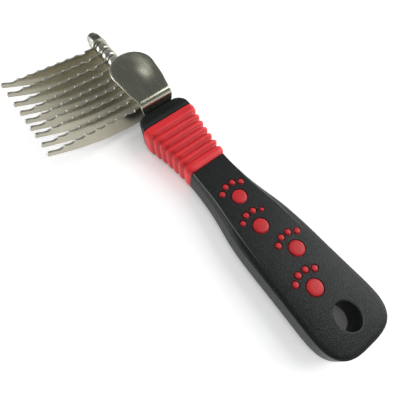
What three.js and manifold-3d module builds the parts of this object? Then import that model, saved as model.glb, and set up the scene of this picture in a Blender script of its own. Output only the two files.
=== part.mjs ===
// Dematting comb: a moulded handle with a ribbed rubber sleeve, and a pack of serrated steel blades,
// barrel spacers and a thumb rest threaded on one rod and clamped by a washer and a dome nut.
// Millimetres. The comb lies on its handle's flat back: z = 0 is that back, +Y runs along the handle
// towards the blades, the blades point to -X and their teeth face +Z.
import * as THREE from 'three';
import * as BufferGeometryUtils from 'three/addons/utils/BufferGeometryUtils.js';
import Module from 'manifold-3d';

const wasm = await Module();
wasm.setup();

// ---- driving dimensions ----
const GRIP_TOP = 13.0;           // height of the grip's upper face
const GRIP_FRONT = 23.8;         // where the grip meets the sleeve
const END_CENTRE = -45;          // the rounded free end starts here
const GRIP_EDGE = 2.4;           // rounding of the grip's edges
const GRIP_HALF_WIDTH = 14.5;    // at the free end
const END_LENGTH = 14.7;
const END_POWER = 3.1;           // a superellipse: 2 would be an ellipse
const HEAD_BACK = 51.9;          // where the sleeve meets the head block
const HEAD_FRONT = 58.35;        // face that the thumb rest is clamped to
const HEAD_TOP = 14.8;
const HEAD_BOTTOM = 0.9;
const HEAD_HALF_WIDTH = 12.0;
const HEAD_CORNER = 5.0;

const RIB_PITCH = 3.57;          // ribs of the rubber sleeve
const FIRST_RIB = 48.6;
const LAST_RIB = 27.2;
const RIB_DEPTH = 0.85;
const BAND_BACK = 50.3;          // the sleeve's plain band lies between here and the head
const BAND_STEP = 0.4;
const CORE_INSET = 1.9;          // the neck under the sleeve is this much narrower
const CORE_DROP = 0.9;           // and this much lower

const HOLE_CENTRE = [0.3, -48.7];
const HOLE_HALF_WIDTH = 4.4;
const HOLE_HALF_LENGTH = 5.0;
const PAD_RADIUS = 2.97;
const TOE_RADIUS = 1.2;
const PAWS = [                   // pad centres; one print has two smaller toes
  { x: 0.3, y: 5.3, toes: [TOE_RADIUS, TOE_RADIUS, TOE_RADIUS, TOE_RADIUS] },
  { x: -1.2, y: -8.4, toes: [0.85, TOE_RADIUS, TOE_RADIUS, 1.05] },
  { x: 3.2, y: -22.4, toes: [TOE_RADIUS, TOE_RADIUS, TOE_RADIUS, TOE_RADIUS] },
  { x: -1.6, y: -35.8, toes: [TOE_RADIUS, TOE_RADIUS, TOE_RADIUS, TOE_RADIUS] },
];
const TOE_RING = 6.5;            // toe centres, measured from the pad's centre
const TOE_ANGLES = [45, 75, 105, 135];
const SEAT_GAP = 0.2;            // clearance of an inlaid or sleeved piece in its seat

const ROD_Z = 11.0;              // height of the rod's axis
const ROD_RADIUS = 1.95;         // M4 thread
const ROD_BORE = 2.15;           // clear bore in the blades, spacers, washer and nut
const ROD_FRONT = 116.5;
const TANG_RADIUS = 1.5;         // the rod's thinner end, moulded into the neck
const TANG_BACK = 33;
const TANG_FRONT = 50;
const PIN_Y = 37;                // cross pin that keeps the rod from turning or pulling out
const PIN_RADIUS = 0.8;
const PIN_HALF_LENGTH = 5;

const BLADE_COUNT = 9;
const BLADE_THICKNESS = 1.0;
const SPACER_LENGTH = 4.4;
const SPACER_RADIUS = 3.6;
const STACK_GAP = 0.05;          // running gap between neighbours on the rod
const EYE_RADIUS = 3.3;          // blade metal round the rod
const TOOTH_COUNT = 8;
const FIRST_TOOTH = -8.2;
const TOOTH_PITCH = 4.72;
const SCALLOP_DEPTH = 0.8;
const BLADE_REACH = -48.8;
const BLADE_TILTS = [0, 0.3, -0.1, 1.2, 2.3, 2.4, 1.8, 0.5, -0.5]; // degrees the tips droop as clamped

const PLATE = 1.2;               // sheet thickness of the thumb rest
const WALL_HALF_WIDTH = 7.75;
const BEND_RADIUS = 3.0;
const BEND_Z = 17.6;
const PADDLE_RADIUS = 9.9;
const PADDLE_FRONT = 85.8;
const DISH_CENTRE = 75;
const DISH_RADIUS = 9.5;
const DISH_DEPTH = 1.2;

const WASHER_THICKNESS = 1.0;
const WASHER_RADIUS = 4.0;
const NUT_ACROSS_FLATS = 7.0;
const NUT_HEX_LENGTH = 4.0;
const NUT_LENGTH = 8.6;
const NUT_BORE_DEPTH = 6.6;
const DOME_RADIUS = 3.1;

const ROUND = 24;                // sides of a round part

// ---- geometry helpers ----
function toSolid(geometry) {
  const bare = geometry.clone();
  bare.deleteAttribute('normal');
  bare.deleteAttribute('uv');
  const merged = BufferGeometryUtils.mergeVertices(bare, 1e-4);
  const mesh = new wasm.Mesh({
    numProp: 3,
    vertProperties: new Float32Array(merged.attributes.position.array),
    triVerts: new Uint32Array(merged.index.array),
  });
  return new wasm.Manifold(mesh);
}

function toGeometry(solid) {
  const mesh = solid.getMesh();
  const geometry = new THREE.BufferGeometry();
  geometry.setAttribute('position', new THREE.BufferAttribute(mesh.vertProperties, 3));
  geometry.setIndex(new THREE.BufferAttribute(mesh.triVerts, 1));
  return geometry;
}

const join = (...solids) => solids.reduce((a, b) => a.add(b));
const cut = (solid, ...tools) => tools.reduce((a, b) => a.subtract(b), solid);
const points2 = (pairs) => pairs.map(([x, y]) => new THREE.Vector2(x, y));

// Moves every vertex of a geometry by a formula.
function reshape(geometry, move) {
  const position = geometry.attributes.position;
  const point = new THREE.Vector3();
  for (let i = 0; i < position.count; i += 1) {
    point.fromBufferAttribute(position, i);
    move(point);
    position.setXYZ(i, point.x, point.y, point.z);
  }
  return geometry;
}

// A plan outline (x, y) raised from z = low to z = high, with rounded edges of the given size.
function slab(shape, low, high, edge = 0, edgeSteps = 2, curveSegments = 6) {
  const geometry = new THREE.ExtrudeGeometry(shape, {
    depth: high - low - 2 * edge,
    bevelEnabled: edge > 0,
    bevelThickness: edge,
    bevelSize: edge,
    bevelOffset: -edge,
    bevelSegments: edgeSteps,
    curveSegments,
  });
  return geometry.translate(0, 0, low + edge);
}

// A section drawn as (x, z), extruded from y = back to y = front.
function alongY(shape, back, front, steps = 1, curveSegments = 3) {
  const settings = { depth: front - back, steps, bevelEnabled: false, curveSegments };
  const geometry = new THREE.ExtrudeGeometry(shape, settings);
  return geometry.rotateX(Math.PI / 2).translate(0, front, 0);
}

// A side profile drawn as (y, z), extruded from x = -halfWidth to x = halfWidth.
function acrossX(shape, halfWidth, steps) {
  const settings = { depth: 2 * halfWidth, steps, bevelEnabled: false };
  const geometry = new THREE.ExtrudeGeometry(shape, settings);
  return geometry.rotateY(Math.PI / 2).rotateX(Math.PI / 2).translate(-halfWidth, 0, 0);
}

// A profile of (radius, distance along the axis) turned about the Y axis.
function turned(profile, sides = ROUND) {
  return new THREE.LatheGeometry(points2(profile), sides);
}

function barAlongY(radius, back, front) {
  const geometry = new THREE.CylinderGeometry(radius, radius, front - back, ROUND);
  return geometry.translate(0, (back + front) / 2, ROD_Z);
}

function post(radius, x, y, low, high, sides) {
  const geometry = new THREE.CylinderGeometry(radius, radius, high - low, sides);
  return geometry.rotateX(Math.PI / 2).translate(x, y, (low + high) / 2);
}

function circle(radius, y = 0, sides = ROUND) {
  const path = new THREE.Path().absarc(0, y, radius, 0, 2 * Math.PI);
  return new THREE.Path(path.getSpacedPoints(sides));
}

// ---- materials ----
const finish = (color, roughness, metalness) => () =>
  new THREE.MeshStandardMaterial({ color, roughness, metalness });
const blackPlastic = finish(0x262c2a, 0.55, 0.0);
const redRubber = finish(0xd8343a, 0.6, 0.0);
const satinSteel = finish(0x9a9684, 0.35, 0.9);
const brightSteel = finish(0xb9b8ac, 0.2, 1.0);

const comb = new THREE.Group();
comb.name = 'dematting_comb';

function place(name, geometry, material, position = [0, 0, 0]) {
  const mesh = new THREE.Mesh(geometry, material());
  mesh.name = name;
  mesh.position.set(...position);
  comb.add(mesh);
}

// ---- handle ----
// Plan of the grip: a side curve from the waist to the free end, which is a superellipse.
function gripPlan() {
  const side = [[9.2, GRIP_FRONT + 4], [9.3, GRIP_FRONT], [9.8, 15], [10.3, 9], [11.05, 3], [12.5, -5],
    [13.1, -12], [13.6, -20], [13.95, -30], [GRIP_HALF_WIDTH, END_CENTRE]];
  const right = new THREE.SplineCurve(points2(side)).getPoints(16);
  const power = (value) => Math.sign(value) * Math.abs(value) ** (2 / END_POWER);
  const end = [];
  for (let i = 1; i < 16; i += 1) {
    const angle = -(i / 16) * Math.PI;
    const x = power(Math.cos(angle)) * GRIP_HALF_WIDTH;
    end.push(new THREE.Vector2(x, END_CENTRE + power(Math.sin(angle)) * END_LENGTH));
  }
  const left = right.map((p) => new THREE.Vector2(-p.x, p.y)).reverse();
  return new THREE.Shape([...right, ...end, ...left]);
}

// A rounded bar along the neck whose half width, bottom and top follow formulae in y.
function neckBar(back, front, steps, halfWidth, bottom, top) {
  const corner = 0.28;
  const side = 1 - corner;
  const section = new THREE.Shape();
  section.absarc(side, side, corner, 0, Math.PI / 2);
  section.absarc(-side, side, corner, Math.PI / 2, Math.PI);
  section.absarc(-side, -side, corner, Math.PI, 1.5 * Math.PI);
  section.absarc(side, -side, corner, 1.5 * Math.PI, 2 * Math.PI);
  section.closePath();
  return reshape(alongY(section, back, front, steps, 2), (p) => {
    const low = bottom(p.y);
    const high = top(p.y);
    p.x *= halfWidth(p.y);
    p.z = (low + high) / 2 + p.z * ((high - low) / 2);
  });
}

function neckHalfWidth(y) {
  const along = Math.max(y, GRIP_FRONT) - LAST_RIB;
  return 9.5 + 0.06 * along + 0.0038 * along * along;
}

const neckTop = (y) => 13.6 + 0.041 * (y - GRIP_FRONT);
const neckBottom = () => 0;

function neckCore(extra) {
  const halfWidth = (y) => neckHalfWidth(y) - CORE_INSET + extra;
  const top = (y) => Math.min(neckTop(y) - CORE_DROP, y < GRIP_FRONT ? GRIP_TOP - 1 : 20) + extra;
  const bottom = () => neckBottom() + CORE_DROP - extra;
  return neckBar(GRIP_FRONT - 4, HEAD_BACK + 2, 6, halfWidth, bottom, top);
}

function headPlan() {
  const shape = new THREE.Shape();
  const side = HEAD_HALF_WIDTH - HEAD_CORNER;
  shape.moveTo(-HEAD_HALF_WIDTH, HEAD_BACK);
  shape.lineTo(HEAD_HALF_WIDTH, HEAD_BACK);
  shape.absarc(side, HEAD_FRONT - HEAD_CORNER, HEAD_CORNER, 0, Math.PI / 2);
  shape.absarc(-side, HEAD_FRONT - HEAD_CORNER, HEAD_CORNER, Math.PI / 2, Math.PI);
  return shape;
}

function hangHole() {
  const shape = new THREE.Shape();
  shape.absellipse(...HOLE_CENTRE, HOLE_HALF_WIDTH, HOLE_HALF_LENGTH, 0, 2 * Math.PI);
  return slab(shape, -5, GRIP_TOP + 5, 0, 1, 12);
}

// One paw print: a pad and four toes that stand a little proud, tied together by hidden bars.
// As a seat cutter it grows by the clearance and reaches out of the grip.
function pawPrint({ x, y, toes }, clearance, proud) {
  const bottom = GRIP_TOP - 2.6 - clearance;
  const barHeight = 1.2 + 2 * clearance;
  const parts = [post(PAD_RADIUS + clearance, x, y, bottom, GRIP_TOP + proud + 0.2, 16)];
  TOE_ANGLES.forEach((degrees, i) => {
    const angle = THREE.MathUtils.degToRad(degrees);
    const toeX = x + TOE_RING * Math.cos(angle);
    const toeY = y + TOE_RING * Math.sin(angle);
    const bar = new THREE.BoxGeometry(TOE_RING, 1.4 + 2 * clearance, barHeight);
    bar.translate(TOE_RING / 2, 0, 0).rotateZ(angle).translate(x, y, bottom + barHeight / 2);
    parts.push(bar, post(toes[i] + clearance, toeX, toeY, bottom, GRIP_TOP + proud, 10));
  });
  return join(...parts.map(toSolid));
}

function crossPin(radius, halfLength) {
  const geometry = new THREE.CylinderGeometry(radius, radius, 2 * halfLength, 12);
  return geometry.rotateZ(Math.PI / 2).translate(0, PIN_Y, ROD_Z);
}

function handle() {
  const block = toSolid(slab(gripPlan(), 0, GRIP_TOP, GRIP_EDGE, 4));
  const beyondWaist = new THREE.BoxGeometry(40, 10, 40).translate(0, GRIP_FRONT + 5, 0);
  const head = toSolid(slab(headPlan(), HEAD_BOTTOM, HEAD_TOP, 0.9, 2, 5));
  const grip = cut(block, toSolid(beyondWaist), toSolid(hangHole()));
  const seats = PAWS.map((paw) => pawPrint(paw, SEAT_GAP, 2));
  const tangSeat = barAlongY(TANG_RADIUS + 0.1, TANG_BACK - 0.1, TANG_FRONT + 1);
  const rodSeat = barAlongY(ROD_RADIUS + 0.1, TANG_FRONT - 0.1, HEAD_FRONT + 2);
  const pinSeat = crossPin(PIN_RADIUS + 0.1, PIN_HALF_LENGTH + 0.1);
  const body = join(grip, toSolid(neckCore(0)), head);
  return cut(body, toSolid(tangSeat), toSolid(rodSeat), toSolid(pinSeat), ...seats);
}

// ---- sleeve ----
// A plain band at the head, then seven rounded ribs that wrap the neck and taper to the grip.
function ribRelief(y) {
  if (y > FIRST_RIB) {
    return 0;
  }
  if (y < LAST_RIB) {
    return 0.1 * (LAST_RIB - y);
  }
  return RIB_DEPTH * Math.sin((Math.PI * (FIRST_RIB - y)) / RIB_PITCH) ** 2;
}

function sleeve() {
  const bandStep = (y) => (y > BAND_BACK ? BAND_STEP : 0);
  const halfWidth = (y) => neckHalfWidth(y) - ribRelief(y) - bandStep(y);
  const top = (y) => neckTop(y) - 0.6 * ribRelief(y);
  const bottom = (y) => neckBottom() + 0.6 * ribRelief(y);
  const outer = neckBar(GRIP_FRONT + SEAT_GAP, HEAD_BACK - SEAT_GAP, 42, halfWidth, bottom, top);
  return cut(toSolid(outer), toSolid(neckCore(SEAT_GAP)));
}

// ---- blade pack ----
const toothHeight = (x) => 12.9 + 0.083 * (FIRST_TOOTH - x);

function bladeOutline() {
  const shape = new THREE.Shape();
  shape.absarc(0, ROD_Z, EYE_RADIUS, THREE.MathUtils.degToRad(-25), THREE.MathUtils.degToRad(145));
  shape.lineTo(-5.4, 12.6);
  shape.lineTo(FIRST_TOOTH, toothHeight(FIRST_TOOTH));
  for (let i = 1; i <= TOOTH_COUNT; i += 1) {
    const peak = FIRST_TOOTH - i * TOOTH_PITCH;
    const valley = peak + TOOTH_PITCH / 2;
    const dip = toothHeight(valley) - 2 * SCALLOP_DEPTH;
    shape.quadraticCurveTo(valley, dip, peak, toothHeight(peak));
  }
  shape.lineTo(BLADE_REACH + 1.3, 16.75);
  shape.quadraticCurveTo(BLADE_REACH, 16.7, BLADE_REACH, 15.6);
  shape.lineTo(BLADE_REACH, 14.9);
  shape.splineThru(points2([[-36.8, 9.8], [-25.8, 6.4], [-15, 4.95], [-7, 4.3], [0, 4.1]]));
  const eyeEnd = THREE.MathUtils.degToRad(-25);
  shape.quadraticCurveTo(3, 4.6, EYE_RADIUS * Math.cos(eyeEnd), ROD_Z + EYE_RADIUS * Math.sin(eyeEnd));
  shape.holes.push(circle(ROD_BORE, ROD_Z));
  return shape;
}

function blade(tilt) {
  const geometry = alongY(bladeOutline(), -BLADE_THICKNESS / 2, BLADE_THICKNESS / 2, 1, 4);
  return geometry.translate(0, 0, -ROD_Z).rotateY(-THREE.MathUtils.degToRad(tilt));
}

function spacer() {
  const half = SPACER_LENGTH / 2;
  const end = 2.7;
  const shoulder = 3.35;
  return turned([
    [ROD_BORE, -half], [end, -half], [shoulder, -1.3], [SPACER_RADIUS, 0], [shoulder, 1.3], [end, half],
    [ROD_BORE, half], [ROD_BORE, -half],
  ], 20);
}

// The thumb rest is one sheet: a wall clamped to the head, bent forward into a dished paddle.
const WALL_BACK = HEAD_FRONT + STACK_GAP;
const BEND_Y = WALL_BACK + BEND_RADIUS;

function paddleTop(y) {
  const along = y - BEND_Y;
  return BEND_Z + BEND_RADIUS + 0.19 * along - 0.0042 * along * along;
}

function sheetProfile() {
  const outer = [[WALL_BACK, 3]];
  const inner = [[WALL_BACK + PLATE, 3]];
  for (let i = 0; i <= 4; i += 1) {
    const angle = Math.PI - (i / 4) * THREE.MathUtils.degToRad(84);
    const small = BEND_RADIUS - PLATE;
    outer.push([BEND_Y + BEND_RADIUS * Math.cos(angle), BEND_Z + BEND_RADIUS * Math.sin(angle)]);
    inner.push([BEND_Y + small * Math.cos(angle), BEND_Z + small * Math.sin(angle)]);
  }
  for (let i = 1; i <= 10; i += 1) {
    const y = BEND_Y + (i / 10) * (PADDLE_FRONT + 1 - BEND_Y);
    outer.push([y, paddleTop(y)]);
    inner.push([y, paddleTop(y) - PLATE]);
  }
  return new THREE.Shape(points2([...outer, ...inner.reverse()]));
}

function paddlePlan() {
  const centre = PADDLE_FRONT - PADDLE_RADIUS;
  const shape = new THREE.Shape();
  shape.moveTo(-WALL_HALF_WIDTH, WALL_BACK - 1);
  shape.lineTo(WALL_HALF_WIDTH, WALL_BACK - 1);
  shape.lineTo(WALL_HALF_WIDTH, BEND_Y);
  shape.lineTo(PADDLE_RADIUS, centre - 1.5);
  shape.absarc(0, centre, PADDLE_RADIUS, 0, Math.PI);
  shape.lineTo(-PADDLE_RADIUS, centre - 1.5);
  shape.lineTo(-WALL_HALF_WIDTH, BEND_Y);
  return shape;
}

function wallOutline() {
  const foot = 5.8;
  const shape = new THREE.Shape();
  shape.absarc(0, ROD_Z, foot, Math.PI, 2 * Math.PI);
  shape.lineTo(7.45, HEAD_TOP);
  shape.lineTo(WALL_HALF_WIDTH, BEND_Z);
  shape.lineTo(WALL_HALF_WIDTH, BEND_Z + 1);
  shape.lineTo(-WALL_HALF_WIDTH, BEND_Z + 1);
  shape.lineTo(-WALL_HALF_WIDTH, BEND_Z);
  shape.lineTo(-7.45, HEAD_TOP);
  return shape;
}

function thumbRest() {
  const sheet = reshape(acrossX(sheetProfile(), 12, 12), (p) => {
    const away = Math.hypot(p.x, p.y - DISH_CENTRE) / DISH_RADIUS;
    p.z -= DISH_DEPTH * Math.max(0, 1 - away * away) ** 1.5;
  });
  const wall = alongY(wallOutline(), WALL_BACK - 1, WALL_BACK + BEND_RADIUS, 1, 8);
  const paddle = slab(paddlePlan(), BEND_Z, 30, 0, 1, 14);
  const shape = toSolid(sheet).intersect(join(toSolid(wall), toSolid(paddle)));
  return cut(shape, toSolid(barAlongY(ROD_BORE, WALL_BACK - 5, WALL_BACK + 5)));
}

// ---- rod, washer and nut ----
function threadedRod() {
  const tang = toSolid(barAlongY(TANG_RADIUS, TANG_BACK, TANG_FRONT + 1));
  const thread = toSolid(barAlongY(ROD_RADIUS, TANG_FRONT, ROD_FRONT));
  return cut(join(tang, thread), toSolid(crossPin(PIN_RADIUS + 0.1, 10)));
}

function washer() {
  return turned([
    [ROD_BORE, 0], [WASHER_RADIUS, 0], [WASHER_RADIUS, WASHER_THICKNESS], [ROD_BORE, WASHER_THICKNESS],
    [ROD_BORE, 0],
  ]);
}

function domeNut() {
  const corner = NUT_ACROSS_FLATS / 2 / Math.cos(Math.PI / 6);
  const hex = new THREE.CylinderGeometry(corner, corner, NUT_HEX_LENGTH, 6);
  hex.translate(0, NUT_HEX_LENGTH / 2, 0);
  const domeStart = NUT_LENGTH - DOME_RADIUS;
  const profile = [[0, NUT_HEX_LENGTH - 1], [DOME_RADIUS, NUT_HEX_LENGTH - 1]];
  for (let i = 0; i < 5; i += 1) {
    const angle = (i / 5) * (Math.PI / 2);
    profile.push([DOME_RADIUS * Math.cos(angle), domeStart + DOME_RADIUS * Math.sin(angle)]);
  }
  profile.push([0, NUT_LENGTH]);
  const bore = new THREE.CylinderGeometry(ROD_BORE, ROD_BORE, 2 * NUT_BORE_DEPTH, ROUND);
  return cut(join(toSolid(hex), toSolid(turned(profile))), toSolid(bore));
}

// ---- assembly ----
place('handle_body', toGeometry(handle()), blackPlastic);
place('grip_sleeve', toGeometry(sleeve()), redRubber);
PAWS.forEach((paw, i) => {
  place(`paw_inlay_${i + 1}`, toGeometry(pawPrint(paw, 0, 0.4)), redRubber);
});
place('anchor_pin', crossPin(PIN_RADIUS, PIN_HALF_LENGTH), satinSteel);
place('threaded_rod', toGeometry(threadedRod()), satinSteel);
place('thumb_rest', toGeometry(thumbRest()), brightSteel);

let stackY = WALL_BACK + PLATE;
for (let i = 1; i <= BLADE_COUNT; i += 1) {
  stackY += STACK_GAP;
  place(`spacer_${i}`, spacer(), brightSteel, [0, stackY + SPACER_LENGTH / 2, ROD_Z]);
  stackY += SPACER_LENGTH + STACK_GAP;
  place(`blade_${i}`, blade(BLADE_TILTS[i - 1]), satinSteel, [0, stackY + BLADE_THICKNESS / 2, ROD_Z]);
  stackY += BLADE_THICKNESS;
}
stackY += STACK_GAP;
place('end_washer', washer(), brightSteel, [0, stackY, ROD_Z]);
stackY += WASHER_THICKNESS + STACK_GAP;
place('dome_nut', toGeometry(domeNut()), brightSteel, [0, stackY, ROD_Z]);

export default comb;
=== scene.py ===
"""Dematting comb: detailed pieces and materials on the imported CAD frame.

Row frame: z = 0 is the handle's flat back, +Y runs along the handle towards the blades, the blades
point to -X. Shapes below are written in millimetres and scaled to metres when a mesh is made.
"""
import math

import bmesh
import bpy
import numpy as np
from mathutils import Matrix, Vector
from mathutils.geometry import tessellate_polygon

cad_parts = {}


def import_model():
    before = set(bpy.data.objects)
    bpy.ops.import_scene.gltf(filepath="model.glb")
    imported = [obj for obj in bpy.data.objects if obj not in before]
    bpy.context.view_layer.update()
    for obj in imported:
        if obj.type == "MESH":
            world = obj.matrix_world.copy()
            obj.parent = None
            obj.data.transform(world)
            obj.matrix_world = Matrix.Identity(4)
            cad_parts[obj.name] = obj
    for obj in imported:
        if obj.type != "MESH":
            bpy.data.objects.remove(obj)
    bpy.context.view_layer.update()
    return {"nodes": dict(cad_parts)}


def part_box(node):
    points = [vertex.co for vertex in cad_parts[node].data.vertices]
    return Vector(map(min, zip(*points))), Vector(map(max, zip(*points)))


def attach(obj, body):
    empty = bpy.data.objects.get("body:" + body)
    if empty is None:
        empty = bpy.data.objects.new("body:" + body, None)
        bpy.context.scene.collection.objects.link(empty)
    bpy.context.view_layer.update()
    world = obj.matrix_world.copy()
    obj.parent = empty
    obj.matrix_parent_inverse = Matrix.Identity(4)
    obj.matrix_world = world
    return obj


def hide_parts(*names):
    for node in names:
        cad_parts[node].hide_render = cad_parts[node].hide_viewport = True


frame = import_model()

MM = 0.001
ROD_Z = 11.0  # height of the rod's axis
HARD_EDGE = 30  # degrees between two faces above which their edge is drawn sharp


def centre_mm(node):
    """Middle of a CAD node's box, in millimetres."""
    low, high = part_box(node)
    return [(a + b) / 2 / MM for a, b in zip(low, high)]


def range_mm(node, axis):
    """Lowest and highest coordinate of a CAD node along an axis, in millimetres."""
    low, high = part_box(node)
    return low[axis] / MM, high[axis] / MM


# ---------------------------------------------------------------- materials

class Nodes:
    """Short way to write a material's node tree."""

    def __init__(self, name):
        self.material = bpy.data.materials.new(name)
        self.material.use_nodes = True
        self.tree = self.material.node_tree
        self.shader = self.tree.nodes["Principled BSDF"]
        self.position = self.add("ShaderNodeTexCoord").outputs["Object"]

    def add(self, kind, **settings):
        node = self.tree.nodes.new(kind)
        for key, value in settings.items():
            setattr(node, key, value)
        return node

    def link(self, source, target):
        self.tree.links.new(source, target)

    def put(self, node, socket, value):
        if hasattr(value, "links"):
            self.link(value, node.inputs[socket])
        else:
            node.inputs[socket].default_value = value

    def noise(self, scale, detail, rough=0.5, stretch=(1, 1, 1)):
        """Noise with cells of about 1/scale metres, drawn out along an axis by a stretch below 1."""
        mapping = self.add("ShaderNodeMapping")
        mapping.inputs["Scale"].default_value = stretch
        self.link(self.position, mapping.inputs["Vector"])
        node = self.add("ShaderNodeTexNoise")
        self.link(mapping.outputs["Vector"], node.inputs["Vector"])
        node.inputs["Scale"].default_value = scale
        node.inputs["Detail"].default_value = detail
        node.inputs["Roughness"].default_value = rough
        return node.outputs["Fac"]

    def spread(self, value, low, high, to_low, to_high):
        """Maps low ... high to to_low ... to_high, and holds the ends beyond them."""
        node = self.add("ShaderNodeMapRange")
        self.put(node, "Value", value)
        ends = (("From Min", low), ("From Max", high), ("To Min", to_low), ("To Max", to_high))
        for socket, number in ends:
            self.put(node, socket, number)
        return node.outputs["Result"]

    def maths(self, operation, a, b):
        node = self.add("ShaderNodeMath", operation=operation)
        self.put(node, 0, a)
        self.put(node, 1, b)
        return node.outputs[0]

    def mix(self, factor, a, b):
        node = self.add("ShaderNodeMix", data_type="RGBA")
        self.put(node, "Factor", factor)
        self.put(node, "A", a)
        self.put(node, "B", b)
        return node.outputs["Result"]

    def bump(self, height, distance, strength, normal=None):
        node = self.add("ShaderNodeBump")
        self.put(node, "Height", height)
        node.inputs["Distance"].default_value = distance
        node.inputs["Strength"].default_value = strength
        if normal is not None:
            self.link(normal, node.inputs["Normal"])
        return node.outputs["Normal"]

    def set(self, **sockets):
        """Fills the shader's sockets, written with _ for a space, and gives back the material."""
        for name, value in sockets.items():
            self.put(self.shader, name.replace("_", " "), value)
        return self.material


def crevice(n, distance):
    """1 in the open, falling to 0 in narrow grooves and under overhangs; used to paint shade into the
    rubber's grooves and shadow onto the table.
    """
    node = n.add("ShaderNodeAmbientOcclusion", samples=8)
    node.inputs["Distance"].default_value = distance
    return node.outputs["AO"]


def rgb(red, green, blue):
    return (red, green, blue, 1.0)


FLAT = 0.505  # pointiness just above that of a flat face
CONVEX = 0.56  # pointiness of a sharp convex edge
EDGE_WEAR = 0.15  # how far the plastic turns to its worn colour there


def wear(n):
    """Faint wear on convex edges, 0 elsewhere."""
    geometry = n.add("ShaderNodeNewGeometry")
    return n.spread(geometry.outputs["Pointiness"], FLAT, CONVEX, 0.0, EDGE_WEAR)


HOLE = (0.3, -48.7, 4.4, 5.0)  # centre and half axes of the hang hole
HOLE_RIM = 1.05  # rim of the hang hole, in half axes
FACE_FRONT = 24  # y where the line along the face's edge starts
FACE_LENGTH = 48
# (distance behind FACE_FRONT, half width of the grip's face)
FACE_EDGE = (
    (0, 7.6), (8.5, 7.9), (13.5, 8.0), (19, 8.55), (24, 9.2), (29.5, 9.82), (34, 10.2), (42, 10.63),
    (FACE_LENGTH, 10.9),
)


def edge_wear_and_painted_highlight(n):
    """Lighter line along the sharp edge of the grip's face and round the hang hole, partly wear and partly a
    painted highlight; 0 elsewhere.
    """
    place = n.add("ShaderNodeSeparateXYZ")
    n.link(n.position, place.inputs["Vector"])
    x, y, z = place.outputs["X"], place.outputs["Y"], place.outputs["Z"]
    ramp = n.add("ShaderNodeValToRGB")
    stops = ramp.color_ramp.elements
    for behind, half_width in FACE_EDGE:
        value = half_width / 10  # the ramp holds centimetres
        if behind == 0:
            stop = stops[0]
        elif behind == FACE_LENGTH:
            stop = stops[len(stops) - 1]
        else:
            stop = stops.new(behind / FACE_LENGTH)
        stop.color = rgb(value, value, value)
    n.link(n.spread(y, FACE_FRONT * MM, (FACE_FRONT - FACE_LENGTH) * MM, 0.0, 1.0), ramp.inputs["Fac"])
    face_half_width = n.maths("MULTIPLY", ramp.outputs["Color"], 10 * MM)
    away = n.maths("SUBTRACT", n.maths("ABSOLUTE", x, 0.0), face_half_width)
    # painted highlight and wear: a thin light line along the face's sharp edge, fading out towards the free
    # end
    line = n.spread(n.maths("ABSOLUTE", away, 0.0), 0.06 * MM, 0.26 * MM, 1.0, 0.0)
    line = n.maths("MULTIPLY", line, n.spread(y, -20 * MM, -6 * MM, 0.0, 1.0))
    across = n.maths("DIVIDE", n.maths("SUBTRACT", x, HOLE[0] * MM), HOLE[2] * MM)
    along = n.maths("DIVIDE", n.maths("SUBTRACT", y, HOLE[1] * MM), HOLE[3] * MM)
    squares = n.maths("ADD", n.maths("POWER", across, 2.0), n.maths("POWER", along, 2.0))
    off_rim = n.maths("SUBTRACT", n.maths("POWER", squares, 0.5), HOLE_RIM)
    # painted highlight and wear: a light ring round the hang hole's rim
    ring = n.spread(n.maths("ABSOLUTE", off_rim, 0.0), 0.015, 0.045, 1.0, 0.0)
    ring = n.maths("MULTIPLY", ring, 0.5)
    on_face = n.spread(z, 12.4 * MM, 12.7 * MM, 0.0, 1.0)
    return n.maths("MULTIPLY", n.maths("ADD", line, ring), on_face)


PLASTIC_DEEP = rgb(0.0045, 0.0064, 0.0060)
PLASTIC_LIGHT = rgb(0.0075, 0.0100, 0.0094)
PLASTIC_FLECK = rgb(0.036, 0.043, 0.040)
# colour of worn plastic edges, which on the grip also carries a painted highlight
PLASTIC_WEAR_AND_HIGHLIGHT = rgb(0.15, 0.165, 0.16)
# painted shade in the rubber's grooves
RUBBER_PAINTED_SHADE = rgb(0.22, 0.004, 0.012)
GROOVE_REACH = 0.0026  # metres over which painted shade darkens a groove in the rubber
SHEARED_STEEL = rgb(0.44, 0.43, 0.37)


def black_plastic(name, edges, sheen):
    """Black plastic with a fine moulded texture; edges(n) says where it is lighter: worn, and on the grip
    also a painted highlight.
    """
    n = Nodes(name)
    patches = n.noise(90, 3)
    grain = n.noise(2600, 2, 0.6)
    pits = n.noise(900, 3, 0.6)
    colour = n.mix(n.spread(patches, 0.35, 0.65, 0.0, 1.0), PLASTIC_DEEP, PLASTIC_LIGHT)
    colour = n.mix(n.spread(grain, 0.5, 0.74, 0.0, 0.75), colour, PLASTIC_FLECK)
    colour = n.mix(edges(n), colour, PLASTIC_WEAR_AND_HIGHLIGHT)
    rough = n.spread(pits, 0.3, 0.7, 0.38, 0.46)
    normal = n.bump(pits, 0.00006, 0.5)
    normal = n.bump(grain, 0.00012, 1.0, normal)
    return n.set(Base_Color=colour, Roughness=rough, Normal=normal, Specular_IOR_Level=sheen)


def red_rubber(name, light, deep, rough=0.42):
    """Soft red rubber, with painted shade darkening its grooves."""
    n = Nodes(name)
    patches = n.noise(140, 3)
    grain = n.noise(2200, 3, 0.6)
    colour = n.mix(n.spread(patches, 0.3, 0.7, 0.0, 1.0), light, deep)
    # painted shade: the colour darkens where ambient occlusion finds a groove
    groove = n.spread(crevice(n, GROOVE_REACH), 0.45, 1.0, 1.0, 0.0)
    colour = n.mix(groove, colour, RUBBER_PAINTED_SHADE)
    roughness = n.spread(grain, 0.3, 0.7, rough - 0.05, rough + 0.08)
    normal = n.bump(grain, 0.00004, 0.4)
    return n.set(Base_Color=colour, Roughness=roughness, Normal=normal, Specular_IOR_Level=0.45)


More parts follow.
